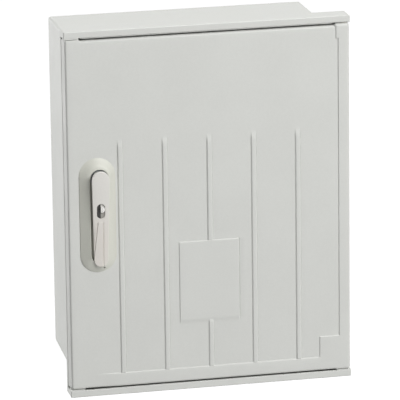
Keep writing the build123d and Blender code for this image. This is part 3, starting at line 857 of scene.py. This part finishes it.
def tub_underside():
    """Troughs carried from the wall to the collar, whose floor falls evenly towards the front."""
    distance = underside_proud + np.array([0, back_chamfer, tub_depth])
    floor = tub_bottom - underside_drop - underside_slope * distance
    insets = (back_chamfer, 0, 0)
    loops = np.stack([trough(inset, bottom) for inset, bottom in zip(insets, floor)])
    rows = raised(loops, distance[:, None])
    return closed_mesh("tub_underside", [(rows, True)], [rows[0], rows[-1]])


cabinet_pieces = {
    "lip_bead": lip_bead(),
    "sill_land_left": land(-land_out, -land_in, sill_top, land_rear),
    "sill_land_right": land(land_in, land_out, sill_top, bush_front + bush_clearance),
    "lip_land_left": land(-land_out, -land_in, lip_bottom, land_rear),
    "tub_underside": tub_underside(),
}
for piece_name, piece_mesh in cabinet_pieces.items():
    make_piece(piece_name, piece_mesh, "cabinet", "moulded_grey")


# Handle housing


def housing_surface():
    """Boss: up a flank, hollower to the right, to the crest, over the pocket's edge to its floor and hole."""
    foot_top = (handle_x, housing_high[2] - housing_radius)
    foot_bottom = (handle_x, housing_low[2] + housing_radius)
    foot = capsule(foot_top, housing_radius, foot_bottom, housing_radius)

    def pocket(grown):
        """The pocket's outline, grown by a distance."""
        return capsule((pocket_x, hub_z), pocket_radius + grown, pocket_tip, pocket_tip_radius + grown)

    def crest(inset):
        """The crest's outline: the pocket's, grown by the crest's width and drawn down below the tip."""
        loop = pocket(crest_width - inset)
        below = soft_step((pocket_tip[1] - loop[:, 1]) / pocket_tip_radius)
        under_tip = soft_step((loop[:, 0] - pocket_tip[0]) / pocket_tip_radius + crest_stretch_start)
        return loop - crest_stretch * np.outer(below * under_tip, [0, 1])

    rise = np.concatenate([[0], np.linspace(foot_wall_share, 1, FLANK_ROWS)])[:, None]
    at_top = soft_step((foot[:, 1] - hub_z) / top_flank_fade)
    to_right = (foot[:, 0] - handle_x) / housing_radius
    below = np.clip((foot_bottom[1] - foot[:, 1]) / housing_radius, 0, 1)
    hollowed = rise ** (flank_power + flank_power_side * to_right - flank_power_below * below)
    rounded = (soft_step(rise) + 1 - (1 - rise) ** top_flank_power) / 2
    slope = hollowed + (rounded - hollowed) * at_top
    at_left = soft_step(-to_right - crest_lift_start) * (1 - at_top)
    wall = foot_wall * at_left * np.clip(rise / foot_wall_share, 0, 1)
    crest_front = housing_front + crest_lift * at_left
    flank_front = field_front + wall + (crest_front - field_front - crest_edge - wall) * slope
    turn = np.linspace(0, np.pi / 2, CREST_ROWS)[:, None]
    crest_round = np.stack([crest(crest_edge * (1 - math.cos(angle))) for angle in turn.ravel()])
    pocket_round = np.stack([pocket(pocket_edge * (1 - math.sin(angle))) for angle in turn.ravel()])
    hole_end = (lever_x, hub_z - spindle_hole_stretch)
    hole = capsule((lever_x, hub_z), spindle_hole_radius, hole_end, spindle_hole_radius)
    rows = [
        raised(between(foot, crest(0), rise.ravel()), flank_front),
        raised(crest_round, crest_front - crest_edge * (1 - np.sin(turn))),
        raised(pocket_round, crest_front - pocket_edge * (1 - np.cos(turn))),
        raised(between(pocket(0), hole, np.linspace(0, 1, FLOOR_ROWS)), pocket_floor),
        raised(hole[None], field_front),
        raised(foot[None], field_front),
    ]
    return np.concatenate(rows)


make_piece(
    "handle_boss",
    carved(
        closed_mesh("handle_boss", [(housing_surface(), True)], []),
        [],
        [prism(seal_hole, field_front - CUT_PAST, lever_front)],
    ),
    "door",
    "moulded_grey",
    replaced="handle_housing",
    finish="handle_grey",
)


# Lever


def lever_inset(x, z):
    """Distance inside the outline of two circles, one above the other, and their tangents."""
    beside = np.abs(x - lever_x)
    from_hub = hub_radius - np.hypot(beside, z - hub_z)
    from_tip = tip_radius - np.hypot(beside, z - tip_z)
    from_side = hub_radius - beside * np.cos(side_lean) + (z - hub_z) * np.sin(side_lean)
    along = beside * np.sin(side_lean) + z * np.cos(side_lean)
    inset = np.where(along >= hub_z * np.cos(side_lean), from_hub, from_side)
    return np.where(along <= tip_z * np.cos(side_lean), from_tip, inset)


def lever_half_width(z):
    """Half the lever's width at a height: the circle of hub or tip, or the straight side between them."""
    hub = np.sqrt(np.clip(hub_radius**2 - (z - hub_z) ** 2, 0, None))
    tip = np.sqrt(np.clip(tip_radius**2 - (z - tip_z) ** 2, 0, None))
    side = (hub_radius + (z - hub_z) * np.sin(side_lean)) / np.cos(side_lean)
    half = np.where(z >= hub_z - hub_radius * np.sin(side_lean), hub, side)
    return np.where(z <= tip_z - tip_radius * np.sin(side_lean), tip, half)


def grip_edges(z):
    """Left and right edge of the grip, measured from the lever's middle; the left one slants outwards."""
    return -grip_left - grip_left_slant * np.clip(grip_top - z, 0, None), np.full_like(z, grip_right)


def lever_face(x, z):
    """Distance of the front from the wall: it falls from hub to tip, less a crown.

    Below the hub a grip stands between two grooves, with a facet to the left of it.
    """
    slope = (lever_front - lever_back - tip_thickness) / (slope_top - lever_low[2])
    fall = slope * np.logaddexp(0, (slope_top - z) / slope_bend) * slope_bend
    beside = x - lever_x
    left, right = grip_edges(z)
    in_grip = np.minimum(beside - left, right - beside)
    nearest = np.minimum(np.abs(beside - left), np.abs(right - beside))
    band = grip_relief * soft_step(in_grip / groove_half_width)
    groove = groove_depth * np.clip(1 - nearest / groove_half_width, 0, 1)
    crown = lever_crown * (beside / hub_radius) ** 2
    facet = grip_facet * soft_step((grip_top - z) / grip_facet_length) * np.clip(left - beside, 0, None)
    return lever_front - fall - crown - facet + soft_step((grip_top - z) / grip_fade) * (band - groove)


def between_knots(start, end, count):
    """Even points from each start towards its end, without the end itself."""
    return start[:, None] + (end - start)[:, None] * np.linspace(0, 1, count, endpoint=False)


def lever_grid():
    """Grid over the lever's front: rows across it at many heights, with points along each edge and groove."""
    ends = np.sin(np.linspace(0, np.pi / 2, LEVER_END_ROWS))
    heights = np.concatenate(
        [
            lever_low[2] + tip_radius * (1 - ends[::-1]),
            np.linspace(tip_z, grip_top, LEVER_SIDE_ROWS)[1:-1],
            grip_top - grip_fade * np.linspace(1, 0, STEP_LINES),
            np.linspace(grip_top, hub_z, LEVER_SIDE_ROWS)[1:],
            hub_z + hub_radius * ends[1:],
        ]
    )
    heights = np.unique(np.round(heights, 3))
    half = lever_half_width(heights)
    left, right = grip_edges(heights)
    left = np.maximum(left, -GRIP_SHARE * half)
    right = np.minimum(right, GRIP_SHARE * half)
    edge = np.minimum(lever_edge, RIM_SHARE * half)
    groove = np.minimum(groove_half_width, GROOVE_SHARE * half)
    knots = [-half, edge - half, left - groove, left, left + groove, right - groove, right, right + groove]
    knots += [half - edge, half]
    spans = [between_knots(*span) for span in zip(knots[:-1], knots[1:], LEVER_SPANS)]
    across = np.concatenate([*spans, half[:, None]], axis=1)
    return lever_x + across, np.repeat(heights[:, None], across.shape[1], axis=1)


def lever_shell():
    """Closed mesh of the lever before it is hollowed: front, rounded edge, undercut side and flat back."""
    x, z = lever_grid()
    distance = lever_face(x, z)
    edge = np.minimum(lever_edge, lever_edge_share * (distance - lever_back))
    rounding = np.clip(edge - lever_inset(x, z), 0, edge)
    front = np.stack([x, -(distance - edge + np.sqrt(edge**2 - rounding**2)), z], axis=-1)
    rim = grid_border(front)
    middle_z = np.clip(rim[:, 2], tip_z, hub_z)
    at_top = soft_step((rim[:, 2] - hub_z) / hub_radius)
    share = 1 - (lever_undercut + (top_undercut - lever_undercut) * at_top) / hub_radius
    back = np.stack(
        [
            lever_x + share * (rim[:, 0] - lever_x),
            np.full(len(rim), -lever_back),
            middle_z + share * (rim[:, 2] - middle_z),
        ],
        axis=-1,
    )
    return closed_mesh("lever_moulding", [(front, False), (np.stack([rim, back]), True)], [back])


lock_reach = lock_half_length - lock_half_width
lock_ends = [(lever_x, lock_z + lock_reach), (lever_x, lock_z - lock_reach)]
lock_hole = capsule(lock_ends[0], lock_half_width, lock_ends[1], lock_half_width)
hollow = capsule((lever_x, hollow_top), hollow_top_radius, (lever_x, hollow_end), hollow_end_radius)
slot_x = lever_x + tongue_slot_half_width * np.array([-1, 1, 1, -1])
slot_z = np.repeat([tongue_slot_bottom, lever_high[2] + CUT_PAST], 2)
tongue_slot = np.column_stack([slot_x, slot_z])
make_piece(
    "lever_moulding",
    carved(
        lever_shell(),
        [],
        [
            prism(lock_hole, lever_back - CUT_PAST, lever_front + CUT_PAST),
            prism(hollow, lever_back - CUT_PAST, lever_back + hollow_height),
            prism(tongue_slot, lever_back - CUT_PAST, lever_back + tongue_slot_height),
        ],
    ),
    "lever",
    "lever_grey",
    replaced="handle_lever",
)


# Floor, light and camera


def white_to_eye(tree):
    """1 for rays from the camera, from gloss and through glass, and 0 for the rest."""
    rays = tree.nodes.new("ShaderNodeLightPath")
    seen = rays.outputs["Is Camera Ray"]
    for name in ("Is Glossy Ray", "Is Transmission Ray"):
        larger = tree.nodes.new("ShaderNodeMath")
        larger.operation = "MAXIMUM"
        tree.links.new(seen, larger.inputs[0])
        tree.links.new(rays.outputs[name], larger.inputs[1])
        seen = larger.outputs[0]
    return seen


def add_world():
    """White where it is seen, and an even dim light elsewhere."""
    world = bpy.data.worlds.new("studio")
    world.use_nodes = True
    tree = world.node_tree
    background = tree.nodes["Background"]
    strength = tree.nodes.new("ShaderNodeMapRange")
    strength.inputs["To Min"].default_value = world_light
    strength.inputs["To Max"].default_value = 1
    tree.links.new(white_to_eye(tree), strength.inputs["Value"])
    tree.links.new(strength.outputs["Result"], background.inputs["Strength"])
    background.inputs["Color"].default_value = (1, 1, 1, 1)
    bpy.context.scene.world = world


def add_floor():
    """Pale floor that keeps shadows and is lifted to white where it is seen."""
    mesh = bpy.data.meshes.new("floor")
    corners = floor_half_size * np.array([[-1, -1, 0], [1, -1, 0], [1, 1, 0], [-1, 1, 0]])
    corners[:, 2] = floor_height
    mesh.from_pydata(corners.tolist(), [], [[0, 1, 2, 3]])
    material, tree = node_material("pale_floor")
    lift = tree.nodes.new("ShaderNodeMath")
    lift.operation = "MULTIPLY"
    lift.inputs[1].default_value = floor_lift
    tree.links.new(white_to_eye(tree), lift.inputs[0])
    values = {
        "Base Color": (floor_tone, floor_tone, floor_tone),
        "Roughness": floor_rough,
        "Emission Color": (1, 1, 1),
        "Emission Strength": lift.outputs[0],
    }
    feed_shader(tree, values)
    mesh.materials.append(material)
    floor = bpy.data.objects.new("floor", mesh)
    bpy.context.scene.collection.objects.link(floor)


def add_lamp(name, place, size, watts):
    """Square soft light that faces the middle of the cabinet."""
    data = bpy.data.lights.new(name, "AREA")
    data.shape = "SQUARE"
    data.size = size
    data.energy = watts
    lamp = bpy.data.objects.new(name, data)
    lamp.location = place
    lamp.rotation_euler = (Vector(lamp_target) - Vector(place)).to_track_quat("-Z", "Y").to_euler()
    bpy.context.scene.collection.objects.link(lamp)


def add_camera():
    """Camera that looks along its yaw and pitch, rolled about its line of sight."""
    forward = np.array(
        [
            math.sin(camera_yaw) * math.cos(camera_pitch),
            math.cos(camera_yaw) * math.cos(camera_pitch),
            -math.sin(camera_pitch),
        ]
    )
    right = np.array([math.cos(camera_yaw), -math.sin(camera_yaw), 0])
    down = np.cross(forward, right)
    rolled_right = math.cos(camera_roll) * right + math.sin(camera_roll) * down
    rolled_down = math.cos(camera_roll) * down - math.sin(camera_roll) * right
    data = bpy.data.cameras.new("camera")
    data.lens = camera_lens
    data.sensor_width = sensor_width
    camera = bpy.data.objects.new("camera", data)
    axes = Matrix(np.column_stack([rolled_right, -rolled_down, -forward]).tolist())
    camera.matrix_world = Matrix.Translation(camera_place) @ axes.to_4x4()
    bpy.context.scene.collection.objects.link(camera)
    bpy.context.scene.camera = camera


add_world()
add_floor()
for lamp_name, lamp_setting in lamps.items():
    add_lamp(lamp_name, *lamp_setting)
add_camera()
bpy.context.scene.view_settings.view_transform = "Standard"
